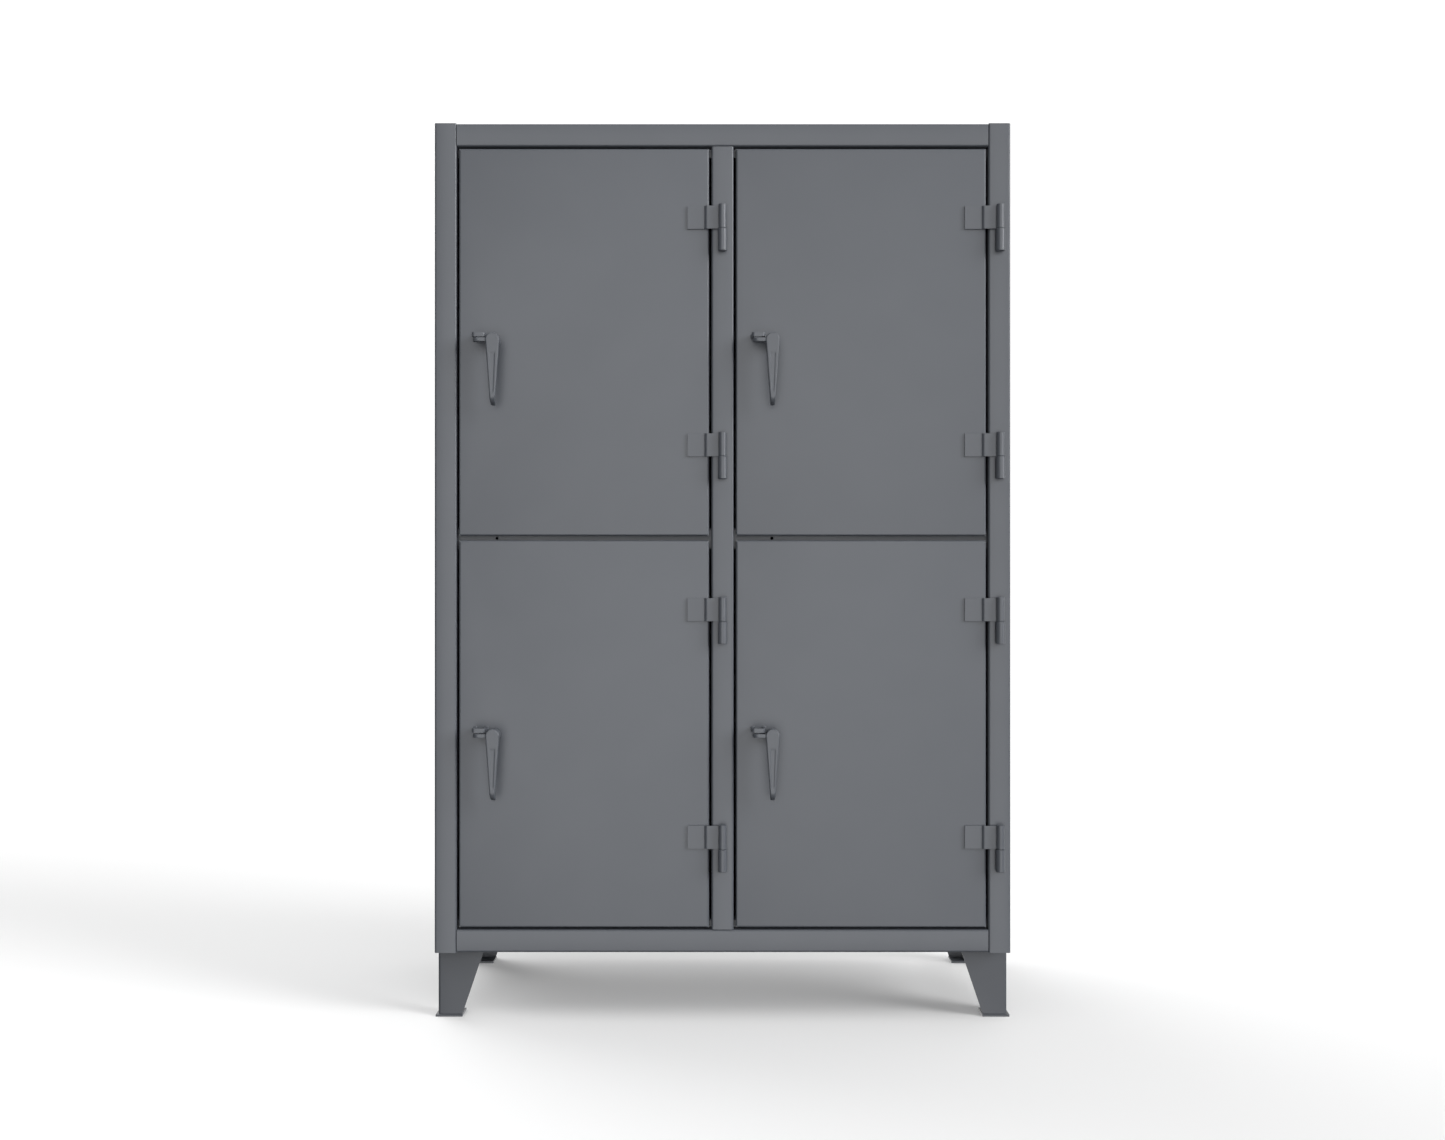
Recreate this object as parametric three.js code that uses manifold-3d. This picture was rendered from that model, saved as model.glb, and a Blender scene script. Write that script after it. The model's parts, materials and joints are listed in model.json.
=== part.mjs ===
// Four-door industrial locker cabinet: a welded sheet-steel body on four legs, two columns wide and
// two doors high. Each door hangs on two lift-off barrel hinges. A turning lever on each door works
// a slotted cam, which draws in an upper and a lower locking rod together.
//
// Millimetres, X to the right seen from the front, Y from front to back, Z up. In the cabinet's own
// coordinates y = 0 is the front face of the frame and z = 0 is the floor.

import * as THREE from 'three';
import { mergeVertices } from 'three/addons/utils/BufferGeometryUtils.js';
import Module from 'manifold-3d';

// ---------------------------------------------------------------- driving dimensions

// Body
const WIDTH = 1270; // over the side sheets
const HEIGHT = 1981; // floor to the top of the posts
const DEPTH = 610; // front face of the frame to the rear lips
const LEG_HEIGHT = 152.4;
const SHEET = 2.7; // body and door sheet
const BEND_RADIUS = 5; // outside radius of a sheet bend
const POST_WIDTH = 49;
const RAIL_HEIGHT = 50;
const RAIL_SETBACK = 1; // top and bottom panels lie this far inside the posts' ends
const STOP_HEIGHT = 19; // flange that a door closes on
const STOP_CLEARANCE = 3; // closed door to the flange
const NOSING_HEIGHT = 46; // front of a shelf
const REAR_LIP = 20;
const REAR_FLANGE = 20;
const NOSING_HOLE_RADIUS = 3.3;
const GAP = 0.3; // between pieces that touch

// Doors
const DOOR_GAP = 5; // door to frame
const DOOR_SPLIT = 10; // upper door to lower door
const DOOR_DEPTH = 25;
const DOOR_LIP = 18;
const CORNER_RELIEF = 3;
const STIFFENER_WIDTH = 90;
const STIFFENER_SHEET = 2;
const STIFFENER_RADIUS = 4;

// Hinges
const AXIS_OUT = 13; // hinge axis in front of the frame's face
const HINGE_INSET = 125; // door end to the hinge
const KNUCKLE_HEIGHT = 53; // leaf's knuckle
const BASE_KNUCKLE_HEIGHT = 49;
const KNUCKLE_SPACE = 0.6; // between the two knuckles
const LEAF_KNUCKLE_RADIUS = 8.75;
const BASE_KNUCKLE_RADIUS = 10;
const HINGE_PIN_RADIUS = 5;
const HINGE_PIN_REACH = 48; // pin above the lower knuckle
const BORE_DEPTH = 50;
const STRAP_HEIGHT = 50.5;
const STRAP_THICKNESS = 3.8;
const STRAP_RADIUS = 6;
const STRAP_REACH = 77; // axis to the far end of the strap
const PAD_LENGTH = 37; // flat part of the strap, on the door
const STRAP_RUN_OUT = 35.5; // level part of the strap, ahead of the axis
const STRAP_RISE = 4.5; // level part, out from the flat part
const WELD_FOOT_WIDTH = 11; // seat of the lower knuckle on its post

// Handle and staple
const SPINDLE_INSET = 80; // door's free edge to the spindle
const SPINDLE_RADIUS = 7;
const SPINDLE_SQUARE = 9.6; // driving end of the spindle
const RUN_CLEARANCE = 0.4; // round a moving pin, rod or spindle
const LEVER_OUT = 50; // front of the lever, ahead of the door
const LEVER_THICKNESS = 11;
const LEVER_HEAD_RADIUS = 15.25;
const LEVER_TIP_RADIUS = 5.1;
const LEVER_LENGTH = 138.5; // spindle to the centre of the tip
const LEVER_CURL_RADIUS = 18;
const LEVER_CURL_START = 4.5; // curl's corner above the tip's centre
const LEVER_CURL_IN = 26; // tip's reach back towards the door
const LEVER_CURL_DROP = 13;
const BOSS_RADIUS = 13;
const EAR_OUT = 48; // front of the padlock ear, ahead of the door
const EAR_RADIUS = 13;
const EAR_CENTRE = 31; // spindle to the ear's hole
const EAR_THICKNESS = 8;
const PADLOCK_HOLE_RADIUS = 5.5;
const STAPLE_OUT = 45;
const STAPLE_STRAP = 5;
const STAPLE_RADIUS = 7;
const STAPLE_HEIGHT = 9;
const STAPLE_WIDTH = 30;
const STAPLE_CLEARANCE = 3; // staple above the ear

// Latch
const TURN = Math.PI / 2; // travel of the handle
const ROD_TRAVEL = 24; // travel of each rod in that turn
const ROD_RADIUS = 4;
const PIN_RADIUS = 2.5;
const PIN_NEAR = 14; // rod's pin to the spindle, drawn in
const CAM_CLEARANCE = 3.5; // stop flange's front to the cam
const CAM_THICKNESS = 4;
const CAM_RIM = 5.5; // metal outside the slots
const CAM_TO_ROD = 1.5;
const PAWL_LENGTH = 80;
const PAWL_WIDTH = 18;
const ROD_SHORT = 1; // rod's end to the stop that it meets
const GUIDE_INNER = 100; // spindle to the inner rod guide
const GUIDE_END_INSET = 86.65; // door end to the outer rod guide
const GUIDE_WIDTH = 24;
const GUIDE_THICKNESS = 3;
const GUIDE_WALL = 3; // metal outside a guide's hole
const ROD_HOLE_CLEARANCE = 2;

// Legs
const LEG_SHEET = 4;
const LEG_TOP = 104;
const LEG_FOOT = 54;
const LEG_SETBACK = 50; // front of a front leg, behind the frame's face
const LEG_RADIUS = 6;
const REAR_LEG_INSET = 5; // rear of a rear leg, ahead of the rear lips
const FOOT_OVERHANG = 5;
const FOOT_LENGTH = 60;
const FOOT_WIDTH = 60;
const FOOT_THICKNESS = 4.8;
const FLANGE_SPARE = 4; // base flange past the leg's cap

// Smoothness
const BEND_STEPS = 4;
const ROUND_STEPS = 16;
const SMALL_ROUND_STEPS = 12;
const SLOT_STEPS = 10;

// ---------------------------------------------------------------- derived places

const HALF = WIDTH / 2;
const INNER_HALF = HALF - SHEET - GAP; // ends of what lies between the side sheets
const OPENING_WIDTH = (WIDTH - 3 * POST_WIDTH) / 2;
const POST_EDGE = HALF - POST_WIDTH;
const DOOR_WIDTH = OPENING_WIDTH - 2 * DOOR_GAP;
const STOP_Y = DOOR_DEPTH + STOP_CLEARANCE;
const RETURN_DEPTH = STOP_Y - (BEND_RADIUS - SHEET) - GAP; // depth of a post, clear of the stop's bend
const REAR_Y = DEPTH - 2 * (SHEET + GAP); // rear of the panels inside the back

const BASE_Z = LEG_HEIGHT + RAIL_SETBACK;
const BOTTOM_RAIL_Z = BASE_Z + RAIL_HEIGHT;
const FLOOR_Z = BOTTOM_RAIL_Z + STOP_HEIGHT;
const TOP_Z = HEIGHT - RAIL_SETBACK;
const TOP_RAIL_Z = TOP_Z - RAIL_HEIGHT;
const TOP_STOP_Z = TOP_RAIL_Z - STOP_HEIGHT;
const DOOR_HEIGHT = (TOP_RAIL_Z - BOTTOM_RAIL_Z - 2 * DOOR_GAP - DOOR_SPLIT) / 2;
const SPLIT_Z = (TOP_RAIL_Z + BOTTOM_RAIL_Z) / 2;
const SHELF_Z = SPLIT_Z + NOSING_HEIGHT / 2;
const NOSING_Z = SHELF_Z - NOSING_HEIGHT;

const PITCH_X = OPENING_WIDTH + POST_WIDTH;
const PITCH_Z = DOOR_HEIGHT + DOOR_SPLIT;
const AXIS_X = DOOR_WIDTH / 2 + DOOR_GAP + POST_WIDTH / 2; // hinge axis from the door's centre
const SPINDLE_X = SPINDLE_INSET - DOOR_WIDTH / 2; // spindle from the door's centre
const HINGE_HEIGHT = KNUCKLE_HEIGHT + KNUCKLE_SPACE + BASE_KNUCKLE_HEIGHT;

const PIN_FAR = PIN_NEAR + ROD_TRAVEL;
const SLOT_RADIUS = PIN_RADIUS + RUN_CLEARANCE;
const CAM_RADIUS = PIN_FAR + SLOT_RADIUS + CAM_RIM;
const CAM_Y = STOP_Y + CAM_CLEARANCE;
const ROD_Y = CAM_Y + CAM_THICKNESS + CAM_TO_ROD + ROD_RADIUS;
const STIFFENER_Y = DOOR_DEPTH - SHEET - GAP;
const GUIDE_OUTER = DOOR_HEIGHT / 2 - GUIDE_END_INSET; // spindle to the outer rod guide

const COLUMNS = [
  { name: 'left', sign: -1 },
  { name: 'right', sign: 1 },
];
const ROWS = [
  { name: 'upper', sign: 1, stopAbove: TOP_STOP_Z, stopBelow: SHELF_Z },
  { name: 'lower', sign: -1, stopAbove: NOSING_Z, stopBelow: FLOOR_Z },
];

// ---------------------------------------------------------------- finishes

const PAINT = { color: 0x6f7277, roughness: 0.5, metalness: 0.1 };
const CAST_PAINT = { color: 0x6c6f74, roughness: 0.45, metalness: 0.1 };
const ZINC = { color: 0xb5b8bc, roughness: 0.35, metalness: 0.9 };

// ---------------------------------------------------------------- building blocks

const wasm = await Module();
wasm.setup();

function toSolid(geometry) {
  geometry.deleteAttribute('normal');
  geometry.deleteAttribute('uv');
  const merged = mergeVertices(geometry);
  return new wasm.Manifold(new wasm.Mesh({
    numProp: 3,
    vertProperties: merged.getAttribute('position').array,
    triVerts: Uint32Array.from(merged.getIndex().array),
  }));
}

function toMesh(name, body, finish) {
  const { vertProperties, triVerts } = body.getMesh();
  const geometry = new THREE.BufferGeometry();
  geometry.setAttribute('position', new THREE.BufferAttribute(Float32Array.from(vertProperties), 3));
  geometry.setIndex(new THREE.BufferAttribute(Uint32Array.from(triVerts), 1));
  geometry.computeVertexNormals();
  const mesh = new THREE.Mesh(geometry, new THREE.MeshStandardMaterial(finish));
  mesh.name = name;
  return mesh;
}

const AXES = {
  x: [new THREE.Vector3(0, 1, 0), new THREE.Vector3(0, 0, 1), new THREE.Vector3(1, 0, 0)],
  y: [new THREE.Vector3(1, 0, 0), new THREE.Vector3(0, 0, 1), new THREE.Vector3(0, -1, 0)],
  z: [new THREE.Vector3(1, 0, 0), new THREE.Vector3(0, 1, 0), new THREE.Vector3(0, 0, 1)],
};

// A prism along an axis. Its outline is in (y, z) along x, in (x, z) along y and in (x, y) along z.
function prism(axis, outline, from, to) {
  const shape = new THREE.Shape(outline.map(([u, v]) => new THREE.Vector2(u, v)));
  const geometry = new THREE.ExtrudeGeometry(shape, { depth: to - from, bevelEnabled: false });
  geometry.translate(0, 0, axis === 'y' ? -to : from);
  geometry.applyMatrix4(new THREE.Matrix4().makeBasis(...AXES[axis]));
  return toSolid(geometry);
}

function block([x0, x1], [y0, y1], [z0, z1]) {
  const geometry = new THREE.BoxGeometry(x1 - x0, y1 - y0, z1 - z0);
  geometry.translate((x0 + x1) / 2, (y0 + y1) / 2, (z0 + z1) / 2);
  return toSolid(geometry);
}

function arc([u, v], radius, start, turn, steps) {
  return Array.from({ length: steps + 1 }, (_, i) => {
    const angle = start + (turn * i) / steps;
    return [u + radius * Math.cos(angle), v + radius * Math.sin(angle)];
  });
}

// A round bar along an axis.
function bar(axis, centre, radius, from, to) {
  const steps = radius > SPINDLE_RADIUS ? ROUND_STEPS : SMALL_ROUND_STEPS;
  return prism(axis, arc(centre, radius, 0, 2 * Math.PI, steps).slice(1), from, to);
}

// A range between two places on either side of the middle, in rising order.
function span(sign, near, far) {
  return sign > 0 ? [near, far] : [-far, -near];
}

// Outline of a bent strip. Its face follows the path, and its metal lies to the path's left (side 1)
// or right (side -1). Each corner turns with the given radius on the outside of the bend.
function bentStrip(path, side, thickness, outsideRadius) {
  const direction = (a, b) => new THREE.Vector2(b[0] - a[0], b[1] - a[1]).normalize();
  const face = [];
  const back = [];
  path.forEach((corner, i) => {
    const here = new THREE.Vector2(...corner);
    const before = i > 0 ? direction(path[i - 1], corner) : direction(corner, path[1]);
    const after = i < path.length - 1 ? direction(corner, path[i + 1]) : before;
    const left = new THREE.Vector2(-before.y, before.x);
    const turn = Math.atan2(before.cross(after), before.dot(after));
    if (turn === 0) {
      face.push(here.toArray());
      back.push(here.addScaledVector(left, side * thickness).toArray());
      return;
    }
    const inward = Math.sign(turn) * side;
    const faceRadius = inward > 0 ? outsideRadius : outsideRadius - thickness;
    const start = here.addScaledVector(before, -faceRadius * Math.tan(Math.abs(turn) / 2));
    const centre = start.addScaledVector(left, Math.sign(turn) * faceRadius).toArray();
    const first = Math.atan2(-left.y * Math.sign(turn), -left.x * Math.sign(turn));
    face.push(...arc(centre, faceRadius, first, turn, BEND_STEPS));
    back.push(...arc(centre, faceRadius - inward * thickness, first, turn, BEND_STEPS));
  });
  return face.concat(back.reverse());
}

// ---------------------------------------------------------------- cabinet body

function sidePanel(sign) {
  const outline = bentStrip([
    [sign * POST_EDGE, RETURN_DEPTH],
    [sign * POST_EDGE, 0],
    [sign * HALF, 0],
    [sign * HALF, DEPTH],
    [sign * (HALF - REAR_LIP), DEPTH],
  ], sign, SHEET, BEND_RADIUS);
  // The post's return stops short at both ends, where the top and bottom sheets run into the post.
  const returnWidth = span(sign, POST_EDGE - 1, HALF - SHEET);
  const returnDepth = [SHEET, RETURN_DEPTH + 1];
  return prism('z', outline, LEG_HEIGHT, HEIGHT)
    .subtract(block(returnWidth, returnDepth, [LEG_HEIGHT - 1, BASE_Z + SHEET + GAP]))
    .subtract(block(returnWidth, returnDepth, [TOP_Z - SHEET - GAP, HEIGHT + 1]));
}

// Cuts a top or bottom panel back round the two posts, leaving its sheet inside them.
function clearPosts(panel, cutHeight, fullHeight) {
  return COLUMNS.reduce((body, { sign }) => {
    const width = span(sign, POST_EDGE - GAP, HALF);
    return body
      .subtract(block(width, [-1, STOP_Y], cutHeight))
      .subtract(block(width, [-1, BEND_RADIUS], fullHeight));
  }, panel);
}

function topPanel() {
  const outline = bentStrip([
    [STOP_Y, TOP_STOP_Z],
    [STOP_Y, TOP_RAIL_Z],
    [0, TOP_RAIL_Z],
    [0, TOP_Z],
    [REAR_Y, TOP_Z],
    [REAR_Y, TOP_Z - REAR_FLANGE],
  ], -1, SHEET, BEND_RADIUS);
  const panel = prism('x', outline, -INNER_HALF, INNER_HALF);
  return clearPosts(panel, [TOP_STOP_Z - 1, TOP_Z - SHEET], [TOP_RAIL_Z - 1, TOP_Z + 1]);
}

function bottomPanel() {
  const outline = bentStrip([
    [LEG_SETBACK + LEG_TOP + FLANGE_SPARE, BASE_Z],
    [0, BASE_Z],
    [0, BOTTOM_RAIL_Z],
    [STOP_Y, BOTTOM_RAIL_Z],
    [STOP_Y, FLOOR_Z],
    [REAR_Y, FLOOR_Z],
    [REAR_Y, BASE_Z],
    [REAR_Y - LEG_TOP - FLANGE_SPARE, BASE_Z],
  ], -1, SHEET, BEND_RADIUS);
  const panel = prism('x', outline, -INNER_HALF, INNER_HALF);
  const cleared = clearPosts(panel, [BASE_Z + SHEET, FLOOR_Z + 1], [BASE_Z - 1, BOTTOM_RAIL_Z + 1]);
  return COLUMNS.reduce((body, { sign }) => body.subtract(rodHole(sign, FLOOR_Z)), cleared);
}

// Hole through a floor or shelf sheet for a column's lower locking rods.
function rodHole(sign, sheetZ) {
  const centre = [(sign * PITCH_X) / 2 + SPINDLE_X, ROD_Y];
  return bar('z', centre, ROD_RADIUS + ROD_HOLE_CLEARANCE, sheetZ - SHEET - 1, sheetZ + 1);
}

function shelf(sign) {
  const outline = bentStrip([
    [STOP_Y, NOSING_Z],
    [STOP_Y, SHELF_Z],
    [REAR_Y, SHELF_Z],
    [REAR_Y, SHELF_Z - REAR_FLANGE],
  ], -1, SHEET, BEND_RADIUS);
  const nosingHole = [(sign * PITCH_X) / 2 + SPINDLE_X, SPLIT_Z];
  return prism('x', outline, ...span(sign, SHEET / 2 + GAP, INNER_HALF))
    .subtract(rodHole(sign, SHELF_Z))
    .subtract(bar('y', nosingHole, NOSING_HOLE_RADIUS, STOP_Y - 1, STOP_Y + SHEET + 1));
}

// Back sheet, against the side panels' rear lips and clear of their bends.
function backPanel() {
  const half = HALF - BEND_RADIUS;
  return block([-half, half], [REAR_Y + GAP, REAR_Y + GAP + SHEET], [BASE_Z, TOP_Z]);
}

function centrePost() {
  const outline = bentStrip([
    [-POST_WIDTH / 2, RETURN_DEPTH],
    [-POST_WIDTH / 2, 0],
    [POST_WIDTH / 2, 0],
    [POST_WIDTH / 2, RETURN_DEPTH],
  ], 1, SHEET, BEND_RADIUS);
  return prism('z', outline, BOTTOM_RAIL_Z + GAP, TOP_RAIL_Z - GAP);
}

// Wall between the two columns. It is notched round the top panel's stop and rear flanges.
function centrePartition() {
  const front = SHEET + GAP;
  const behindStop = STOP_Y + SHEET + GAP;
  const aheadOfFlange = REAR_Y - BEND_RADIUS;
  const top = TOP_Z - SHEET - GAP;
  const underFlange = TOP_Z - REAR_FLANGE - GAP;
  return prism('x', [
    [front, FLOOR_Z + GAP],
    [REAR_Y, FLOOR_Z + GAP],
    [REAR_Y, underFlange],
    [aheadOfFlange, underFlange],
    [aheadOfFlange, top],
    [behindStop, top],
    [behindStop, TOP_STOP_Z - GAP],
    [front, TOP_STOP_Z - GAP],
  ], -SHEET / 2, SHEET / 2);
}

// A tapered angle leg with its foot plate and cap, drawn with its corner at x = 0, y = 0. It runs
// inwards along the given signs of x and y.
function leg(signX, signY) {
  const top = LEG_HEIGHT - GAP;
  const side = -signX * signY;
  const section = bentStrip([
    [signX * LEG_TOP, 0],
    [0, 0],
    [0, signY * LEG_TOP],
  ], side, LEG_SHEET, LEG_RADIUS);
  const waste = (sign) => [
    [sign * LEG_FOOT, FOOT_THICKNESS],
    [sign * LEG_TOP, top],
    [sign * (LEG_TOP + 1), top],
    [sign * (LEG_TOP + 1), 0],
    [sign * LEG_FOOT, 0],
  ];
  const foot = block(
    span(signX, -FOOT_OVERHANG, FOOT_LENGTH - FOOT_OVERHANG),
    span(signY, -FOOT_OVERHANG, FOOT_WIDTH - FOOT_OVERHANG),
    [0, FOOT_THICKNESS],
  );
  const cap = block(
    span(signX, SHEET + GAP, LEG_TOP),
    span(signY, LEG_SHEET / 2, LEG_TOP),
    [top - LEG_SHEET, BASE_Z - GAP],
  );
  return prism('z', section, FOOT_THICKNESS / 2, top)
    .subtract(prism('y', waste(signX), -LEG_TOP * 2, LEG_TOP * 2))
    .subtract(prism('x', waste(signY), -LEG_TOP * 2, LEG_TOP * 2))
    .add(foot)
    .add(cap);
}

// ---------------------------------------------------------------- door, from its own centre

// Section of a tray whose front corners are rounded, in (u, y).
function traySection(half, front, back, radius) {
  return [
    [half, back],
    ...arc([half - radius, front + radius], radius, 0, -Math.PI / 2, BEND_STEPS),
    ...arc([radius - half, front + radius], radius, -Math.PI / 2, -Math.PI / 2, BEND_STEPS),
    [-half, back],
  ];
}

function trayBlock(halfWidth, halfHeight, front, back, radius) {
  const upright = traySection(halfWidth, front, back, radius);
  const level = traySection(halfHeight, front, back, radius).map(([z, y]) => [y, z]);
  return prism('z', upright, -halfHeight, halfHeight).intersect(prism('x', level, -halfWidth, halfWidth));
}

function doorPanel() {
  const halfWidth = DOOR_WIDTH / 2;
  const halfHeight = DOOR_HEIGHT / 2;
  const lipWidth = halfWidth - DOOR_LIP;
  const lipHeight = halfHeight - DOOR_LIP;
  const insideBack = DOOR_DEPTH - SHEET;
  let body = trayBlock(halfWidth, halfHeight, 0, DOOR_DEPTH, BEND_RADIUS)
    .subtract(trayBlock(halfWidth - SHEET, halfHeight - SHEET, SHEET, insideBack, BEND_RADIUS - SHEET))
    .subtract(block([-lipWidth, lipWidth], [insideBack - 1, DOOR_DEPTH + 1], [-lipHeight, lipHeight]))
    .subtract(bar('y', [SPINDLE_X, 0], SPINDLE_RADIUS + RUN_CLEARANCE, -1, SHEET + 1));
  for (const signX of [-1, 1]) {
    for (const signZ of [-1, 1]) {
      const width = span(signX, halfWidth - CORNER_RELIEF, halfWidth + 1);
      const height = span(signZ, halfHeight - CORNER_RELIEF, halfHeight + 1);
      body = body.subtract(block(width, [-1, BEND_RADIUS], height));
    }
  }
  return body;
}

// Channel down the inside of the door, carrying the spindle and four guides for the rods.
function doorStiffener() {
  const near = SPINDLE_X - STIFFENER_WIDTH / 2;
  const far = SPINDLE_X + STIFFENER_WIDTH / 2;
  const outline = bentStrip([
    [near, SHEET + GAP],
    [near, STIFFENER_Y],
    [far, STIFFENER_Y],
    [far, SHEET + GAP],
  ], -1, STIFFENER_SHEET, STIFFENER_RADIUS);
  const halfHeight = DOOR_HEIGHT / 2 - BEND_RADIUS;
  let body = prism('z', outline, -halfHeight, halfHeight);
  const holeRadius = ROD_RADIUS + RUN_CLEARANCE;
  const guideX = [SPINDLE_X - GUIDE_WIDTH / 2, SPINDLE_X + GUIDE_WIDTH / 2];
  const guideY = [STIFFENER_Y - STIFFENER_SHEET / 2, ROD_Y + holeRadius + GUIDE_WALL];
  for (const z of [-GUIDE_OUTER, -GUIDE_INNER, GUIDE_INNER, GUIDE_OUTER]) {
    const guideZ = [z - GUIDE_THICKNESS / 2, z + GUIDE_THICKNESS / 2];
    const hole = bar('z', [SPINDLE_X, ROD_Y], holeRadius, guideZ[0] - 1, guideZ[1] + 1);
    body = body.add(block(guideX, guideY, guideZ).subtract(hole));
  }
  return body.subtract(bar('y', [SPINDLE_X, 0], SPINDLE_RADIUS + RUN_CLEARANCE, 0, DOOR_DEPTH));
}

// Door half of a hinge: a strap bent out to a knuckle with a blind bore. z = 0 is its top.
function hingeLeaf() {
  const padFace = -STRAP_THICKNESS - GAP;
  const rollFace = padFace - STRAP_RISE;
  const outline = bentStrip([
    [AXIS_X - STRAP_REACH, padFace],
    [AXIS_X - STRAP_REACH + PAD_LENGTH, padFace],
    [AXIS_X - STRAP_RUN_OUT, rollFace],
    [AXIS_X - 1, rollFace],
  ], 1, STRAP_THICKNESS, STRAP_RADIUS);
  const axis = [AXIS_X, -AXIS_OUT];
  const boreTop = BORE_DEPTH - KNUCKLE_HEIGHT;
  return prism('z', outline, -KNUCKLE_HEIGHT, STRAP_HEIGHT - KNUCKLE_HEIGHT)
    .add(bar('z', axis, LEAF_KNUCKLE_RADIUS, -KNUCKLE_HEIGHT, 0))
    .subtract(bar('z', axis, HINGE_PIN_RADIUS + RUN_CLEARANCE, -KNUCKLE_HEIGHT - 1, boreTop));
}

// Frame half of a hinge: a knuckle on a weld foot, with the pin standing in it.
function hingeBase() {
  const axis = [AXIS_X, -AXIS_OUT];
  const top = -KNUCKLE_HEIGHT - KNUCKLE_SPACE;
  const bottom = top - BASE_KNUCKLE_HEIGHT;
  const footX = [AXIS_X - WELD_FOOT_WIDTH / 2, AXIS_X + WELD_FOOT_WIDTH / 2];
  return bar('z', axis, BASE_KNUCKLE_RADIUS, bottom, top)
    .add(block(footX, [-AXIS_OUT, -GAP], [bottom, top]))
    .add(bar('z', axis, HINGE_PIN_RADIUS, top - 1, top + HINGE_PIN_REACH));
}

// Staple for a padlock, beside the spindle and just above the handle's ear.
function staple() {
  const near = SPINDLE_X - EAR_CENTRE + STAPLE_WIDTH / 2 + GAP;
  const far = near - STAPLE_WIDTH;
  const outline = bentStrip([
    [far, -GAP],
    [far, -STAPLE_OUT],
    [near, -STAPLE_OUT],
    [near, -GAP],
  ], 1, STAPLE_STRAP, STAPLE_RADIUS);
  const bottom = EAR_THICKNESS / 2 + STAPLE_CLEARANCE;
  return prism('z', outline, bottom, bottom + STAPLE_HEIGHT);
}

// ---------------------------------------------------------------- handle and latch, from the spindle

function handle() {
  const flare = Math.asin((LEVER_HEAD_RADIUS - LEVER_TIP_RADIUS) / LEVER_LENGTH);
  const front = [
    ...arc([0, 0], LEVER_HEAD_RADIUS, -flare, Math.PI + 2 * flare, ROUND_STEPS / 2),
    ...arc([0, -LEVER_LENGTH], LEVER_TIP_RADIUS, Math.PI + flare, Math.PI - 2 * flare, BEND_STEPS),
  ];
  const curlZ = LEVER_CURL_START - LEVER_LENGTH;
  const side = bentStrip([
    [-LEVER_OUT, LEVER_HEAD_RADIUS + 1],
    [-LEVER_OUT, curlZ],
    [LEVER_CURL_IN - LEVER_OUT, curlZ - LEVER_CURL_DROP],
  ], 1, LEVER_THICKNESS, LEVER_CURL_RADIUS);
  const lever = prism('y', front, -LEVER_OUT - 1, 0)
    .intersect(prism('x', side, -LEVER_HEAD_RADIUS - 1, LEVER_HEAD_RADIUS + 1));
  const boss = bar('y', [0, 0], BOSS_RADIUS, LEVER_THICKNESS / 2 - LEVER_OUT, -RUN_CLEARANCE);
  const spindle = bar('y', [0, 0], SPINDLE_RADIUS, -1, CAM_Y - GAP);
  const square = [-SPINDLE_SQUARE / 2, SPINDLE_SQUARE / 2];
  const drive = block(square, [CAM_Y - 1, CAM_Y + CAM_THICKNESS + CAM_TO_ROD], square);
  const earY = EAR_RADIUS - EAR_OUT;
  const earOutline = [
    [0, earY - EAR_RADIUS],
    [0, earY + EAR_RADIUS],
    ...arc([-EAR_CENTRE, earY], EAR_RADIUS, Math.PI / 2, Math.PI, ROUND_STEPS / 2),
  ];
  const ear = prism('z', earOutline, -EAR_THICKNESS / 2, EAR_THICKNESS / 2)
    .subtract(bar('z', [-EAR_CENTRE, earY], PADLOCK_HOLE_RADIUS, -EAR_THICKNESS, EAR_THICKNESS));
  return lever.add(boss).add(spindle).add(drive).add(ear);
}

// Slot whose distance from the spindle falls evenly with the handle's turn, so that its pin moves
// in step with the handle.
function camSlot(startAngle) {
  const near = [];
  const far = [];
  const rate = ROD_TRAVEL / TURN;
  const at = (theta) => {
    const angle = startAngle - theta;
    const radius = PIN_FAR - rate * theta;
    const radial = new THREE.Vector2(Math.cos(angle), Math.sin(angle));
    const along = new THREE.Vector2(radial.y, -radial.x).multiplyScalar(radius);
    along.addScaledVector(radial, -rate).normalize();
    return { centre: radial.clone().multiplyScalar(radius), along };
  };
  for (let i = 0; i <= SLOT_STEPS; i += 1) {
    const { centre, along } = at((TURN * i) / SLOT_STEPS);
    const left = new THREE.Vector2(-along.y, along.x).multiplyScalar(SLOT_RADIUS);
    near.push(centre.clone().add(left).toArray());
    far.push(centre.clone().sub(left).toArray());
  }
  const first = at(0);
  const last = at(TURN);
  const cap = ({ centre, along }, quarter) => {
    const start = Math.atan2(along.y, along.x) + quarter;
    return arc(centre.toArray(), SLOT_RADIUS, start, -Math.PI, BEND_STEPS);
  };
  const endCap = cap(last, Math.PI / 2);
  const startCap = cap(first, -Math.PI / 2);
  return [...near.slice(0, -1), ...endCap, ...far.reverse().slice(1, -1), ...startCap.slice(0, -1)];
}

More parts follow.
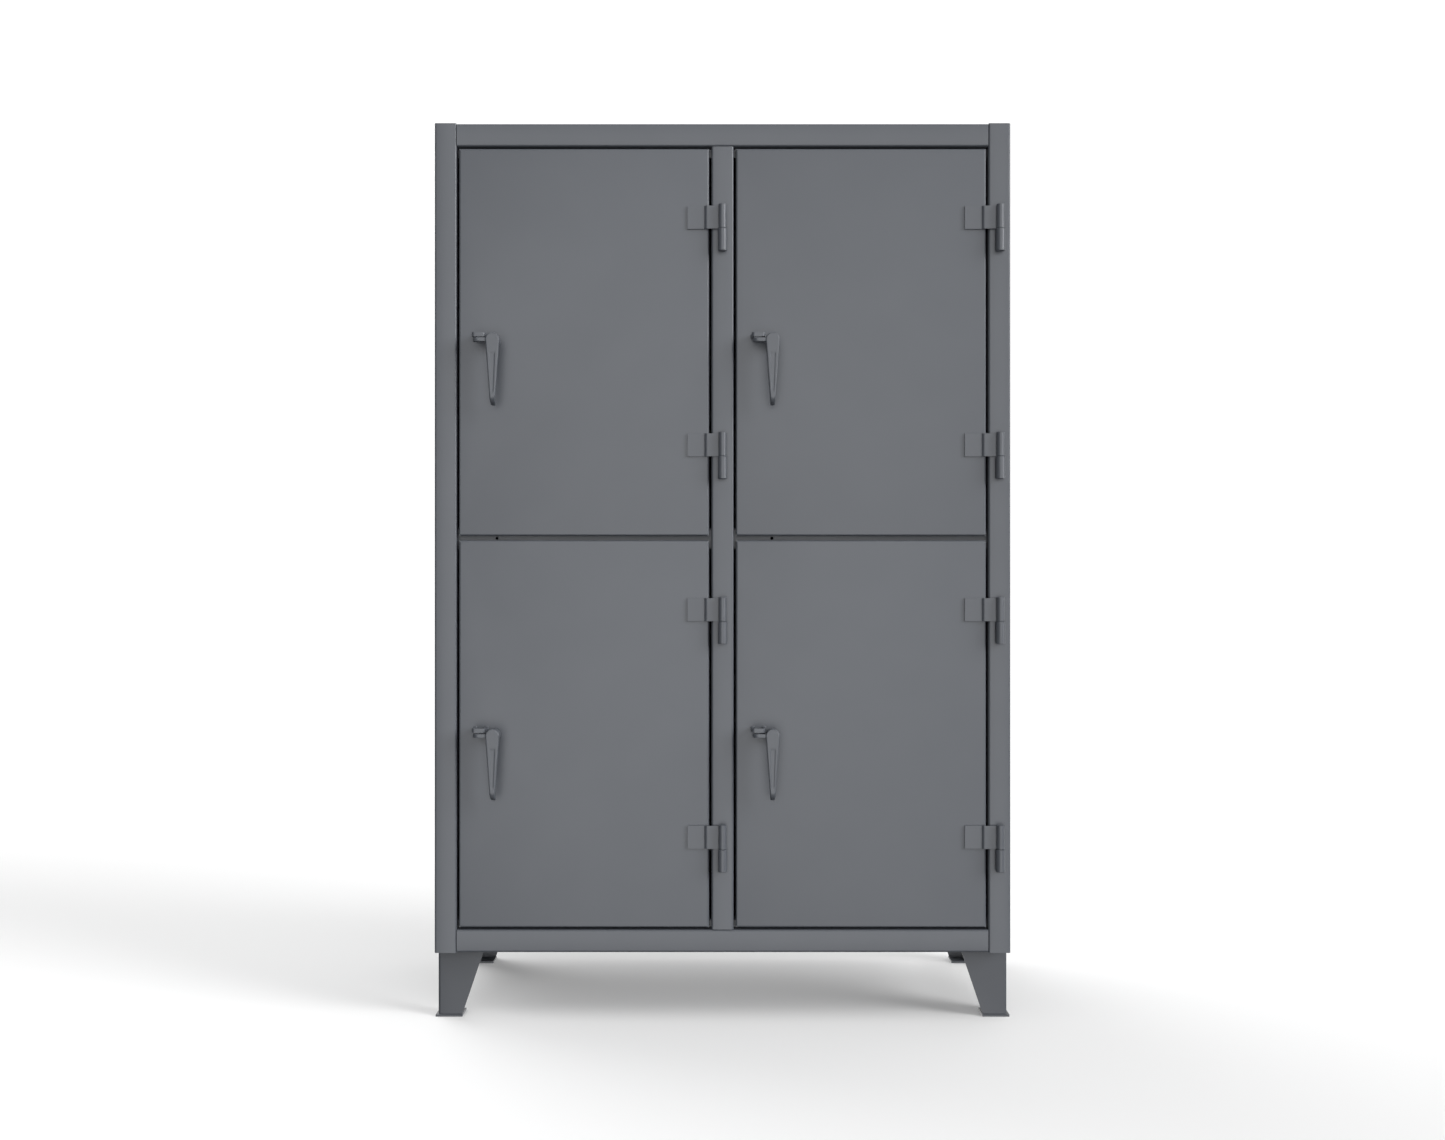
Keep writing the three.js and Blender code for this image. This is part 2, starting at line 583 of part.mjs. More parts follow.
function latchCam() {
  const back = CAM_Y + CAM_THICKNESS;
  const pawlTip = [PAWL_WIDTH / 2 - PAWL_LENGTH, 0];
  const pawl = [
    [0, -PAWL_WIDTH / 2],
    [0, PAWL_WIDTH / 2],
    ...arc(pawlTip, PAWL_WIDTH / 2, Math.PI / 2, Math.PI, BEND_STEPS * 2),
  ];
  const hole = [-SPINDLE_SQUARE / 2 - GAP, SPINDLE_SQUARE / 2 + GAP];
  return bar('y', [0, 0], CAM_RADIUS, CAM_Y, back)
    .add(prism('y', pawl, CAM_Y, back))
    .subtract(prism('y', camSlot(Math.PI / 2), CAM_Y - 1, back + 1))
    .subtract(prism('y', camSlot(-Math.PI / 2), CAM_Y - 1, back + 1))
    .subtract(block(hole, [CAM_Y - 1, back + 1], hole));
}

// Locking rod with its pin, above (sign 1) or below (sign -1) the spindle. Its outer end stops just
// short of the flange or sheet that lies beyond it.
function lockingRod(sign, reach) {
  const innerEnd = PIN_FAR - ROD_RADIUS;
  const pinFront = CAM_Y - CAM_TO_ROD / 2;
  return bar('z', [0, ROD_Y], ROD_RADIUS, ...span(sign, innerEnd, reach - ROD_SHORT))
    .add(bar('y', [0, sign * PIN_FAR], PIN_RADIUS, pinFront, ROD_Y));
}

// ---------------------------------------------------------------- assembly

const cabinet = new THREE.Group();

cabinet.add(toMesh('top_panel', topPanel(), PAINT));
cabinet.add(toMesh('bottom_panel', bottomPanel(), PAINT));
cabinet.add(toMesh('back_panel', backPanel(), PAINT));
cabinet.add(toMesh('centre_post', centrePost(), PAINT));
cabinet.add(toMesh('centre_partition', centrePartition(), PAINT));

for (const { name, sign } of COLUMNS) {
  cabinet.add(toMesh(`${name}_side_panel`, sidePanel(sign), PAINT));
  cabinet.add(toMesh(`${name}_shelf`, shelf(sign), PAINT));
  const frontLeg = toMesh(`front_${name}_leg`, leg(-sign, 1), PAINT);
  frontLeg.position.set(sign * HALF, LEG_SETBACK, 0);
  const rearLeg = toMesh(`rear_${name}_leg`, leg(-sign, -1), PAINT);
  rearLeg.position.set(sign * HALF, DEPTH - REAR_LEG_INSET, 0);
  cabinet.add(frontLeg, rearLeg);
}

for (const row of ROWS) {
  for (const column of COLUMNS) {
    const prefix = `${row.name}_${column.name}`;
    const centreZ = SPLIT_Z + (row.sign * PITCH_Z) / 2;
    const bay = new THREE.Group();
    bay.position.set((column.sign * PITCH_X) / 2, 0, centreZ);
    bay.add(toMesh(`${prefix}_door`, doorPanel(), PAINT));
    bay.add(toMesh(`${prefix}_door_stiffener`, doorStiffener(), PAINT));
    bay.add(toMesh(`${prefix}_staple`, staple(), PAINT));

    const hinges = [
      { place: 'top', top: DOOR_HEIGHT / 2 - HINGE_INSET },
      { place: 'bottom', top: HINGE_INSET + HINGE_HEIGHT - DOOR_HEIGHT / 2 },
    ];
    for (const { place, top } of hinges) {
      const leaf = toMesh(`${prefix}_hinge_leaf_${place}`, hingeLeaf(), PAINT);
      const base = toMesh(`${prefix}_hinge_base_${place}`, hingeBase(), PAINT);
      leaf.position.z = top;
      base.position.z = top;
      bay.add(leaf, base);
    }

    const latch = new THREE.Group();
    latch.position.x = SPINDLE_X;
    latch.add(toMesh(`${prefix}_handle`, handle(), CAST_PAINT));
    latch.add(toMesh(`${prefix}_latch_cam`, latchCam(), ZINC));
    latch.add(toMesh(`${prefix}_upper_rod`, lockingRod(1, row.stopAbove - centreZ), ZINC));
    latch.add(toMesh(`${prefix}_lower_rod`, lockingRod(-1, centreZ - row.stopBelow), ZINC));
    bay.add(latch);
    cabinet.add(bay);
  }
}

// The origin is under the middle of the whole object, from the levers' fronts to the rear lips.
cabinet.position.y = (LEVER_OUT - DEPTH) / 2;

const group = new THREE.Group();
group.add(cabinet);

export default group;
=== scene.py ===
"""Looks of the four-door locker cabinet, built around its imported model.

Metres, in the model's own frame: X to the right, Y from front to back, Z up, the floor at z = 0.
"""

import json
import math

import bmesh
import bpy
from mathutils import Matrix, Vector


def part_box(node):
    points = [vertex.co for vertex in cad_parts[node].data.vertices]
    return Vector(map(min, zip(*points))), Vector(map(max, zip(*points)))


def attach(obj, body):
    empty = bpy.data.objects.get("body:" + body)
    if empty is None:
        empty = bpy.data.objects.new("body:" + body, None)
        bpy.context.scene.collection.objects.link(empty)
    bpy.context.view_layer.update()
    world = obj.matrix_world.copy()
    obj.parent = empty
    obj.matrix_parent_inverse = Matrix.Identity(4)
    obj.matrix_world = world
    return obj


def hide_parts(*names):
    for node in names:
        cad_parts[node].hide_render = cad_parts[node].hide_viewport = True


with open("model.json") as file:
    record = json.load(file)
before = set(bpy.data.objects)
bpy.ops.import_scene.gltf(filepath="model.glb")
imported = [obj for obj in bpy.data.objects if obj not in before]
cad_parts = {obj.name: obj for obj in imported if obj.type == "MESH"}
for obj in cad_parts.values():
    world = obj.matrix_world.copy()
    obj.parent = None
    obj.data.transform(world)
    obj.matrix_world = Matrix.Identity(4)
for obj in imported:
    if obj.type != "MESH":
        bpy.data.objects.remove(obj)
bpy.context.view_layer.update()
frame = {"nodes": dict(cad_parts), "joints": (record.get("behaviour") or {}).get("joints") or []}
nodes = frame["nodes"]
joints = {joint["name"]: joint for joint in frame["joints"]}
MM = 0.001

COLUMNS = ("left", "right")
PREFIXES = [f"{row}_{column}" for row in ("upper", "lower") for column in COLUMNS]

# ---------------------------------------------------------------- camera

CAMERA_DISTANCE = 3.673  # ahead of the cabinet's front face
CAMERA_HEIGHT = 0.9963
LENS, SENSOR = 41.53, 36.0  # mm

front_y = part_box("centre_post")[0].y
camera_data = bpy.data.cameras.new("camera")
camera_data.sensor_width = SENSOR
camera_data.lens = LENS
camera_data.clip_end = 200.0
camera = bpy.data.objects.new("camera", camera_data)
camera.location = (0.0, front_y - CAMERA_DISTANCE, CAMERA_HEIGHT)
camera.rotation_euler = (math.pi / 2, 0.0, 0.0)
bpy.context.scene.collection.objects.link(camera)
bpy.context.scene.camera = camera
bpy.context.scene.view_settings.view_transform = "Standard"
bpy.context.scene.view_settings.look = "None"


# ---------------------------------------------------------------- materials


def add_node(tree, kind, settings=None, **inputs):
    """A node with its settings. Each input, by name, takes a value or another node's output."""
    node = tree.nodes.new(kind)
    for key, value in (settings or {}).items():
        setattr(node, key, value)
    for key, value in inputs.items():
        socket = node.inputs[key.replace("_", " ")]
        if isinstance(value, bpy.types.NodeSocket):
            tree.links.new(value, socket)
        else:
            socket.default_value = value
    return node


def noise_at(tree, place, scale, detail=2.0, roughness=0.5):
    values = {"Scale": scale, "Detail": detail, "Roughness": roughness}
    return add_node(tree, "ShaderNodeTexNoise", Vector=place, **values).outputs["Fac"]


def ramp(tree, factor, stops):
    node = add_node(tree, "ShaderNodeValToRGB", Fac=factor)
    elements = node.color_ramp.elements
    while len(elements) < len(stops):
        elements.new(0.5)
    for element, (position, colour) in zip(elements, stops):
        element.position = position
        element.color = (*colour, 1.0)
    return node.outputs["Color"]


def spread(tree, factor, low, high):
    """A noise output, whose middle half is stretched from low to high."""
    node = add_node(tree, "ShaderNodeMapRange", Value=factor)
    for key, value in (("From Min", 0.25), ("From Max", 0.75), ("To Min", low), ("To Max", high)):
        node.inputs[key].default_value = value
    return node.outputs["Result"]


def start_material(name):
    material = bpy.data.materials.new(name)
    material.use_nodes = True
    tree = material.node_tree
    place = add_node(tree, "ShaderNodeTexCoord").outputs["Object"]
    return material, tree, tree.nodes["Principled BSDF"], place


def paint(name, dark, light, roughness, peel_scale, peel_depth, grain_depth):
    """Baked powder coat: a faint cloudiness, an orange-peel skin and a fine grain."""
    material, tree, shader, place = start_material(name)
    cloud = noise_at(tree, place, 2.6, 3.0)
    tree.links.new(ramp(tree, cloud, [(0.3, dark), (0.7, light)]), shader.inputs["Base Color"])
    patchy = noise_at(tree, place, 11.0, 4.0)
    tree.links.new(spread(tree, patchy, *roughness), shader.inputs["Roughness"])
    peel = add_node(
        tree,
        "ShaderNodeBump",
        Height=noise_at(tree, place, peel_scale, 1.0),
        Distance=peel_depth,
        Strength=1.0,
    )
    grain = add_node(
        tree,
        "ShaderNodeBump",
        Height=noise_at(tree, place, peel_scale * 5.5, 1.0),
        Distance=grain_depth,
        Strength=1.0,
        Normal=peel.outputs["Normal"],
    )
    tree.links.new(grain.outputs["Normal"], shader.inputs["Normal"])
    return material


def zinc(name):
    """Zinc plate: small crystals that differ a little in tone and gloss."""
    material, tree, shader, place = start_material(name)
    crystals = add_node(tree, "ShaderNodeTexVoronoi", Vector=place, Scale=520.0)
    tone = add_node(tree, "ShaderNodeSeparateColor", Color=crystals.outputs["Color"]).outputs["Red"]
    tree.links.new(
        ramp(tree, tone, [(0.0, (0.245, 0.25, 0.255)), (1.0, (0.325, 0.33, 0.335))]),
        shader.inputs["Base Color"],
    )
    tree.links.new(spread(tree, tone, 0.38, 0.48), shader.inputs["Roughness"])
    bump = add_node(
        tree,
        "ShaderNodeBump",
        Height=noise_at(tree, place, 1500.0, 2.0),
        Distance=0.00003,
        Strength=1.0,
    )
    tree.links.new(bump.outputs["Normal"], shader.inputs["Normal"])
    shader.inputs["Metallic"].default_value = 1.0
    return material


# Painted shade: the legs' powder coat is darker than the body's, standing in for the shade that
# falls on them near the floor.
LEG_POWDER_WITH_PAINTED_SHADE = paint(
    "grey_powder_coat_with_painted_shade_on_legs",
    dark=(0.0560, 0.0610, 0.0710),
    light=(0.0590, 0.0640, 0.0745),
    roughness=(0.43, 0.49),
    peel_scale=330.0,
    peel_depth=0.00006,
    grain_depth=0.000008,
)
POWDER = paint(
    "grey_powder_coat",
    dark=(0.0770, 0.0840, 0.0970),
    light=(0.0810, 0.0880, 0.1015),
    roughness=(0.35, 0.39),
    peel_scale=330.0,
    peel_depth=0.00006,
    grain_depth=0.000008,
)
CAST = paint(
    "grey_powder_coat_on_casting",
    dark=(0.0760, 0.0830, 0.0955),
    light=(0.0810, 0.0880, 0.1010),
    roughness=(0.34, 0.40),
    peel_scale=260.0,
    peel_depth=0.00014,
    grain_depth=0.00002,
)
ZINC = zinc("bright_zinc_plate")


# ---------------------------------------------------------------- CAD nodes that stay

JOIN_DISTANCE = 2e-6
FLAT_ANGLE = math.radians(0.5)  # neighbouring facets closer than this become one
BEVEL_ANGLE = math.radians(32)
SHEET_EDGE, LEG_EDGE = 0.4 * MM, 0.7 * MM


def cleaning_group():
    """Drops the imported normals, joins the corners that meet, and shades smooth."""
    group = bpy.data.node_groups.new("join_and_smooth", "GeometryNodeTree")
    for way in ("INPUT", "OUTPUT"):
        group.interface.new_socket("Geometry", in_out=way, socket_type="NodeSocketGeometry")
    start = add_node(group, "NodeGroupInput").outputs[0]
    bare = add_node(group, "GeometryNodeRemoveAttribute", Geometry=start, Name="custom_normal")
    joined = add_node(
        group,
        "GeometryNodeMergeByDistance",
        Geometry=bare.outputs[0],
        Distance=JOIN_DISTANCE,
    )
    smooth = add_node(
        group,
        "GeometryNodeSetShadeSmooth",
        {"domain": "FACE"},
        Geometry=joined.outputs[0],
    )
    add_node(group, "NodeGroupOutput", Geometry=smooth.outputs[0])
    return group


def soften(obj, width, segments=2):
    """Rounds an object's sharp edges a little."""
    bevel = obj.modifiers.new("edges", "BEVEL")
    bevel.width = width
    bevel.segments = segments
    bevel.limit_method = "ANGLE"
    bevel.angle_limit = BEVEL_ANGLE
    bevel.harden_normals = True


def keep(name, material, width):
    """Gives a CAD node its material and soft edges."""
    obj = nodes[name]
    obj.modifiers.new("clean", "NODES").node_group = CLEAN
    flat = obj.modifiers.new("flat", "DECIMATE")
    flat.decimate_type = "DISSOLVE"
    flat.angle_limit = FLAT_ANGLE
    soften(obj, width)
    obj.data.materials.clear()
    obj.data.materials.append(material)


CLEAN = cleaning_group()
ENDS = ("top", "bottom")
REPLACED = ("_handle", "_staple") + tuple(
    f"_hinge_{part}_{end}" for part in ("leaf", "base") for end in ENDS
)
for node_name in nodes:
    if node_name.endswith(REPLACED):
        continue
    if node_name.endswith(("_rod", "_cam")):
        keep(node_name, ZINC, SHEET_EDGE)
    elif node_name.endswith("_leg"):
        # Legs take the darker coat, whose extra darkness is painted shade from near the floor.
        keep(node_name, LEG_POWDER_WITH_PAINTED_SHADE, LEG_EDGE)
    else:
        keep(node_name, POWDER, SHEET_EDGE)


# ---------------------------------------------------------------- mesh tools

GAP = 0.3  # between pieces that touch, in millimetres


def arc(centre, radius, start, turn, steps):
    angles = (start + turn * i / steps for i in range(steps + 1))
    return [(centre[0] + radius * math.cos(a), centre[1] + radius * math.sin(a)) for a in angles]


def bent_strip(path, side, thickness, bends, steps=10):
    """Outline of a strip bent along a path.

    Its metal lies to the path's left (side 1) or right (side -1). Each inner point of the path
    has the outside radius of its bend.
    """
    face, back = [], []
    points = [Vector(p) for p in path]
    for i, here in enumerate(points):
        before = (here - points[i - 1]).normalized() if i else (points[1] - here).normalized()
        after = (points[i + 1] - here).normalized() if i < len(points) - 1 else before
        left = Vector((-before.y, before.x))
        turn = math.atan2(before.x * after.y - before.y * after.x, before.dot(after))
        if i in (0, len(points) - 1):
            face.append(tuple(here))
            back.append(tuple(here + left * side * thickness))
            continue
        way = 1 if turn > 0 else -1
        inward = way * side
        outside = bends[i - 1]
        radius = outside if inward > 0 else outside - thickness
        centre = here - before * radius * math.tan(abs(turn) / 2) + left * way * radius
        first = math.atan2(-left.y * way, -left.x * way)
        face += arc(centre, radius, first, turn, steps)
        back += arc(centre, radius - inward * thickness, first, turn, steps)
    return face + back[::-1]


def add_rings(bm, rings):
    """Skins rings of points, each ring closed on itself, and caps the two ends."""
    loops = [[bm.verts.new(p) for p in ring] for ring in rings]
    count = len(loops[0])
    for a, b in zip(loops, loops[1:]):
        for i in range(count):
            j = (i + 1) % count
            bm.faces.new((a[i], a[j], b[j], b[i]))
    bm.faces.new(loops[0][::-1])
    bm.faces.new(loops[-1])


def add_prism(bm, outline, low, high, axis="z"):
    """An upright prism of an (x, y) outline, or one along y of an (x, z) outline."""

    def place(u, v, w):
        return (u, v, w) if axis == "z" else (u, w, v)

    add_rings(bm, [[place(u, v, w) for u, v in outline] for w in (low, high)])


def add_turned(bm, profile, segments=48, axis="z"):
    """A solid turned about an axis. Its profile (radius, height) starts and ends on the axis."""

    def place(radius, height, angle):
        u, v = radius * math.cos(angle), radius * math.sin(angle)
        return (u, v, height) if axis == "z" else (u, height, v)

    angles = [2 * math.pi * i / segments for i in range(segments)]
    ends = [bm.verts.new(place(0, profile[i][1], 0)) for i in (0, -1)]
    loops = [[bm.verts.new(place(r, h, a)) for a in angles] for r, h in profile[1:-1]]
    for a, b in zip(loops, loops[1:]):
        for i in range(segments):
            j = (i + 1) % segments
            bm.faces.new((a[i], a[j], b[j], b[i]))
    for i in range(segments):
        j = (i + 1) % segments
        bm.faces.new((ends[0], loops[0][j], loops[0][i]))
        bm.faces.new((ends[1], loops[-1][i], loops[-1][j]))


def to_mesh(name, bm):
    bmesh.ops.recalc_face_normals(bm, faces=bm.faces)
    mesh = bpy.data.meshes.new(name)
    bm.to_mesh(mesh)
    bm.free()
    return mesh


def to_object(name, mesh):
    obj = bpy.data.objects.new(name, mesh)
    bpy.context.scene.collection.objects.link(obj)
    return obj


def finished_mesh(obj):
    """The object's mesh with its modifiers applied. The object itself goes."""
    graph = bpy.context.evaluated_depsgraph_get()
    mesh = bpy.data.meshes.new_from_object(obj.evaluated_get(graph), depsgraph=graph)
    bpy.data.objects.remove(obj)
    return mesh


def combined(name, first, second, operation):
    """Boolean of two meshes."""
    base, tool = to_object(name, first), to_object(f"{name}_tool", second)
    step = base.modifiers.new("cut", "BOOLEAN")
    step.operation = operation
    step.object = tool
    step.solver = "EXACT"
    mesh = finished_mesh(base)
    bpy.data.objects.remove(tool)
    return mesh


def shade(mesh, materials):
    for material in materials:
        mesh.materials.append(material)
    for polygon in mesh.polygons:
        polygon.use_smooth = True


def place_piece(mesh, spot, body, node_name, width):
    """Puts a finer piece in a CAD node's place, its edges rounded by a width."""
    piece = to_object(f"{node_name}_fine", mesh)
    piece.location = spot
    if width:
        soften(piece, width, 3)
    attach(piece, body)
    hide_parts(node_name)
    return piece


# ---------------------------------------------------------------- hinges

KNUCKLE, BASE_KNUCKLE = 53.0, 49.0
LEAF_RADIUS, BASE_RADIUS, PIN_RADIUS = 8.75, 10.0, 5.0
BORE_RADIUS, BORE_END = 5.4, -3.0
KNUCKLE_SPACE = 0.6
PIN_REACH = 48.0
CHAMFER = 0.9
AXIS_OUT = 13.0
STRAP_HEIGHT, STRAP_THICKNESS, STRAP_RISE = 50.5, 3.8, 4.5
STRAP_FAR, STRAP_BEND, STRAP_LEVEL, STRAP_END = -77.0, -40.0, -35.5, -4.2
STRAP_RADII = (4.6, 7.0)  # a sharp bend off the door, and an easier one out towards the knuckle
WELD_HALF_WIDTH, WELD_FILLET = 9.5, 5.0
WELD_RIPPLE, WELD_PITCH = 0.35, 2.6
WELD_END, WELD_FRONT = 4.0, 4.0  # how much narrower its ends are, and its face off the hinge axis
HINGE_EDGE = 0.5 * MM


def scaled(points):
    return [tuple(c * MM for c in p) for p in points]


def hinge_leaf_mesh():
    """Strap and knuckle, from the knuckle's top on the hinge axis."""
    bm = bmesh.new()
    add_turned(
        bm,
        scaled([
            (0, 0),
            (LEAF_RADIUS - CHAMFER, 0),
            (LEAF_RADIUS, -CHAMFER),
            (LEAF_RADIUS, CHAMFER - KNUCKLE),
            (LEAF_RADIUS - CHAMFER, -KNUCKLE),
            (BORE_RADIUS + 0.5, -KNUCKLE),
            (BORE_RADIUS, 0.5 - KNUCKLE),
            (BORE_RADIUS, BORE_END),
            (0, BORE_END),
        ]),
    )
    knuckle = to_mesh("leaf_knuckle", bm)
    bm = bmesh.new()
    pad_y = AXIS_OUT - STRAP_THICKNESS - GAP
    roll_y = pad_y - STRAP_RISE
    outline = bent_strip(
        [(STRAP_FAR, pad_y), (STRAP_BEND, pad_y), (STRAP_LEVEL, roll_y), (STRAP_END, roll_y)],
        1,
        STRAP_THICKNESS,
        STRAP_RADII,
    )
    add_prism(bm, scaled(outline), (0.05 - KNUCKLE) * MM, (STRAP_HEIGHT - KNUCKLE) * MM)
    mesh = combined("hinge_leaf", knuckle, to_mesh("strap", bm), "UNION")
    shade(mesh, [POWDER])
    return mesh


def hinge_base_mesh():
    """Lower knuckle with its pin, and the weld that holds it to the post."""
    bm = bmesh.new()
    top = -KNUCKLE - KNUCKLE_SPACE
    bottom = top - BASE_KNUCKLE
    add_turned(
        bm,
        scaled([
            (0, bottom),
            (BASE_RADIUS - CHAMFER, bottom),
            (BASE_RADIUS, bottom + CHAMFER),
            (BASE_RADIUS, top - CHAMFER),
            (BASE_RADIUS - CHAMFER, top),
            (PIN_RADIUS, top),
            (PIN_RADIUS, top + PIN_REACH - 1.5),
            (PIN_RADIUS - 1.5, top + PIN_REACH),
            (0, top + PIN_REACH),
        ]),
    )
    knuckle = to_mesh("base_knuckle", bm)
    bm = bmesh.new()
    seat_y = AXIS_OUT - GAP
    rings = []
    steps = 84
    for i in range(steps + 1):
        z = bottom + 1.5 + (BASE_KNUCKLE - 3.0) * i / steps
        swell = WELD_RIPPLE * abs(math.sin(math.pi * z / WELD_PITCH))
        near_end = min(i, steps - i) / 5
        fade = math.sqrt(min(1.0, near_end * (2 - min(near_end, 1.0))))
        half = (WELD_HALF_WIDTH - WELD_END) + (WELD_END + swell) * fade
        right = []
        for k in range(9):
            a = math.pi / 2 * k / 8
            x = half - WELD_FILLET * (1 - math.cos(a)) * 0.9
            right.append((x, seat_y - (seat_y - WELD_FRONT) * math.sin(a)))
        ring = right + [(-x, y) for x, y in right[::-1]]
        rings.append(scaled([(x, y, z) for x, y in ring]))
    add_rings(bm, rings)
    mesh = combined("hinge_base", knuckle, to_mesh("weld", bm), "UNION")
    shade(mesh, [POWDER])
    return mesh


leaf_mesh = hinge_leaf_mesh()
base_mesh = hinge_base_mesh()
for prefix in PREFIXES:
    axis = Vector(joints[f"{prefix}_door_hinge"]["pos_m"])
    for end in ENDS:
        leaf_node = f"{prefix}_hinge_leaf_{end}"
        spot = (axis.x, axis.y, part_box(leaf_node)[1].z)
        for part, mesh, body in (
            ("leaf", leaf_mesh, f"{prefix}_door_unit"),
            ("base", base_mesh, "cabinet_body"),
        ):
            node_name = f"{prefix}_hinge_{part}_{end}"
            place_piece(mesh.copy(), spot, body, node_name, HINGE_EDGE)


# ---------------------------------------------------------------- staples

STAPLE_OUT, STAPLE_STRAP, STAPLE_BEND = 45.0, 5.0, 7.0
FOOT_BEAD = 2.0
STAPLE_EDGE = 0.9 * MM


def staple_mesh(node_name):
    """Bent strap with a bead of weld round each foot, in the model's own place."""
    low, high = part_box(node_name)
    half = (high.x - low.x) / 2 / MM
    bm = bmesh.new()
    outline = bent_strip(
        [(-half, -GAP), (-half, -STAPLE_OUT), (half, -STAPLE_OUT), (half, -GAP)],
        1,
        STAPLE_STRAP,
        (STAPLE_BEND, STAPLE_BEND),
        12,
    )
    height = (high.z - low.z) / MM
    add_prism(bm, scaled(outline), 0.0, height * MM)
    strap = to_mesh("staple_strap", bm)
    for side in (-1, 1):
        bm = bmesh.new()
        middle = side * (half - STAPLE_STRAP / 2)
        rings = []
        for k in range(5):
            rise = math.pi / 2 * k / 4
            grow = FOOT_BEAD * (1 - math.sin(rise))
            depth = -GAP - FOOT_BEAD * (1 - math.cos(rise))
            reach_x, reach_z = STAPLE_STRAP / 2 + grow, height / 2 + grow
            corner = grow + 0.4
            ring = []
            for quarter in range(4):
                cx = (reach_x - corner) * (1 if quarter in (0, 3) else -1)
                cz = (reach_z - corner) * (1 if quarter in (0, 1) else -1)
                ring += arc((cx, cz), corner, math.pi / 2 * quarter, math.pi / 2, 5)
            rings.append(scaled([(middle + x, depth, height / 2 + z) for x, z in ring]))
        add_rings(bm, rings)
        strap = combined("staple", strap, to_mesh("bead", bm), "UNION")
    shade(strap, [POWDER])
    return strap, Vector(((low.x + high.x) / 2, high.y + GAP * MM, low.z))


for prefix in PREFIXES:
    node_name = f"{prefix}_staple"
    mesh, spot = staple_mesh(node_name)
    place_piece(mesh, spot, f"{prefix}_door_unit", node_name, STAPLE_EDGE)


# ---------------------------------------------------------------- handles

LEVER_OUT, LEVER_THICKNESS = 50.0, 11.0
HEAD_RADIUS, TIP_RADIUS, LEVER_LENGTH = 15.25, 5.1, 138.5
CURL_START, CURL_RADIUS, CURL_TURN, TIP_RUN = -122.9, 12.5, math.radians(63.4), 14.0
EAR_OUT, EAR_RADIUS, EAR_CENTRE, EAR_THICKNESS, EAR_HOLE = 48.0, 13.0, 31.0, 8.0, 5.5
BOSS_RADIUS, SPINDLE_RADIUS, SPINDLE_END = 13.0, 7.0, 31.2
SQUARE, SQUARE_END = 9.6, 37.0
GROOVE_DEPTH, GROOVE_TOP, GROOVE_BOTTOM = 0.9, -26.0, -117.0
GROOVE_SIDE, GROOVE_FADE = 1.6, 6.0  # width of the groove's sides, and length of its ends
VOXEL = 0.8


def smooth_step(x):
    x = min(1.0, max(0.0, x))
    return x * x * (3 - 2 * x)


def lever_half_width(z):
    flare = math.asin((HEAD_RADIUS - TIP_RADIUS) / LEVER_LENGTH)
    if z > -HEAD_RADIUS * math.sin(flare):
        return math.sqrt(max(0.0, HEAD_RADIUS**2 - z * z))
    return (HEAD_RADIUS + z * math.sin(flare)) / math.cos(flare)


def lever_sections():
    """Sections from the head to the tip: (middle y, middle z, lean, half width, half thickness)."""
    middle = LEVER_THICKNESS / 2 - LEVER_OUT
    half = LEVER_THICKNESS / 2
    sections = []
    for i in range(16):
        z = HEAD_RADIUS * math.cos(math.pi / 2 * (i + 0.35) / 16)
        crown = half * (0.72 + 0.28 * smooth_step((HEAD_RADIUS - z) / 2.5))
        sections.append((middle, z, 0.0, lever_half_width(z), crown))
    for i in range(1, 60):
        z = CURL_START * i / 60
        sections.append((middle, z, 0.0, lever_half_width(z), half))
    turned = 16
    for i in range(turned + 1):
        lean = CURL_TURN * i / turned
        y = middle + CURL_RADIUS * (1 - math.cos(lean))
        z = CURL_START - CURL_RADIUS * math.sin(lean)
        width = lever_half_width(CURL_START - CURL_RADIUS * lean * 0.8)
        sections.append((y, z, lean, width, half - 0.8 * i / turned))
    y0, z0, _, width0, half0 = sections[-1]
    for i in range(1, 15):
        run = TIP_RUN * i / 14
        close = math.sqrt(max(0.0, 1 - max(0.0, (run - TIP_RUN + 3.5) / 3.6) ** 2))
        thick = (half0 - 1.2 * i / 14) * (0.45 + 0.55 * close)
        y = y0 + run * math.sin(CURL_TURN)
        z = z0 - run * math.cos(CURL_TURN)
        sections.append((y, z, CURL_TURN, width0 * (0.35 + 0.65 * close), thick))
    return sections


def lever_ring(y, z, lean, width, half):
    """A rounded section whose front carries the shallow groove."""
    radius = min(2.8, 0.85 * width, 0.85 * half)
    fade_in = smooth_step((GROOVE_TOP - z) / GROOVE_FADE)
    window = fade_in * smooth_step((z - GROOVE_BOTTOM) / GROOVE_FADE)
    flat, groove_half = width - radius, 0.5 * width
    across = []
    for k in range(17):
        x = flat * (1 - k / 8)
        depth = GROOVE_DEPTH * window * smooth_step((groove_half - abs(x)) / GROOVE_SIDE)
        across.append((x, -half + depth))
    ring = arc((flat, half - radius), radius, math.pi / 2, -math.pi / 2, 6)
    ring += arc((flat, radius - half), radius, 0, -math.pi / 2, 6)[:-1]
    ring += across
    ring += arc((-flat, radius - half), radius, -math.pi / 2, -math.pi / 2, 6)[1:]
    ring += arc((-flat, half - radius), radius, math.pi, -math.pi / 2, 6)
    turned = []
    for x, depth in ring:
        turned.append((x, y + depth * math.cos(lean), z + depth * math.sin(lean)))
    return scaled(turned)


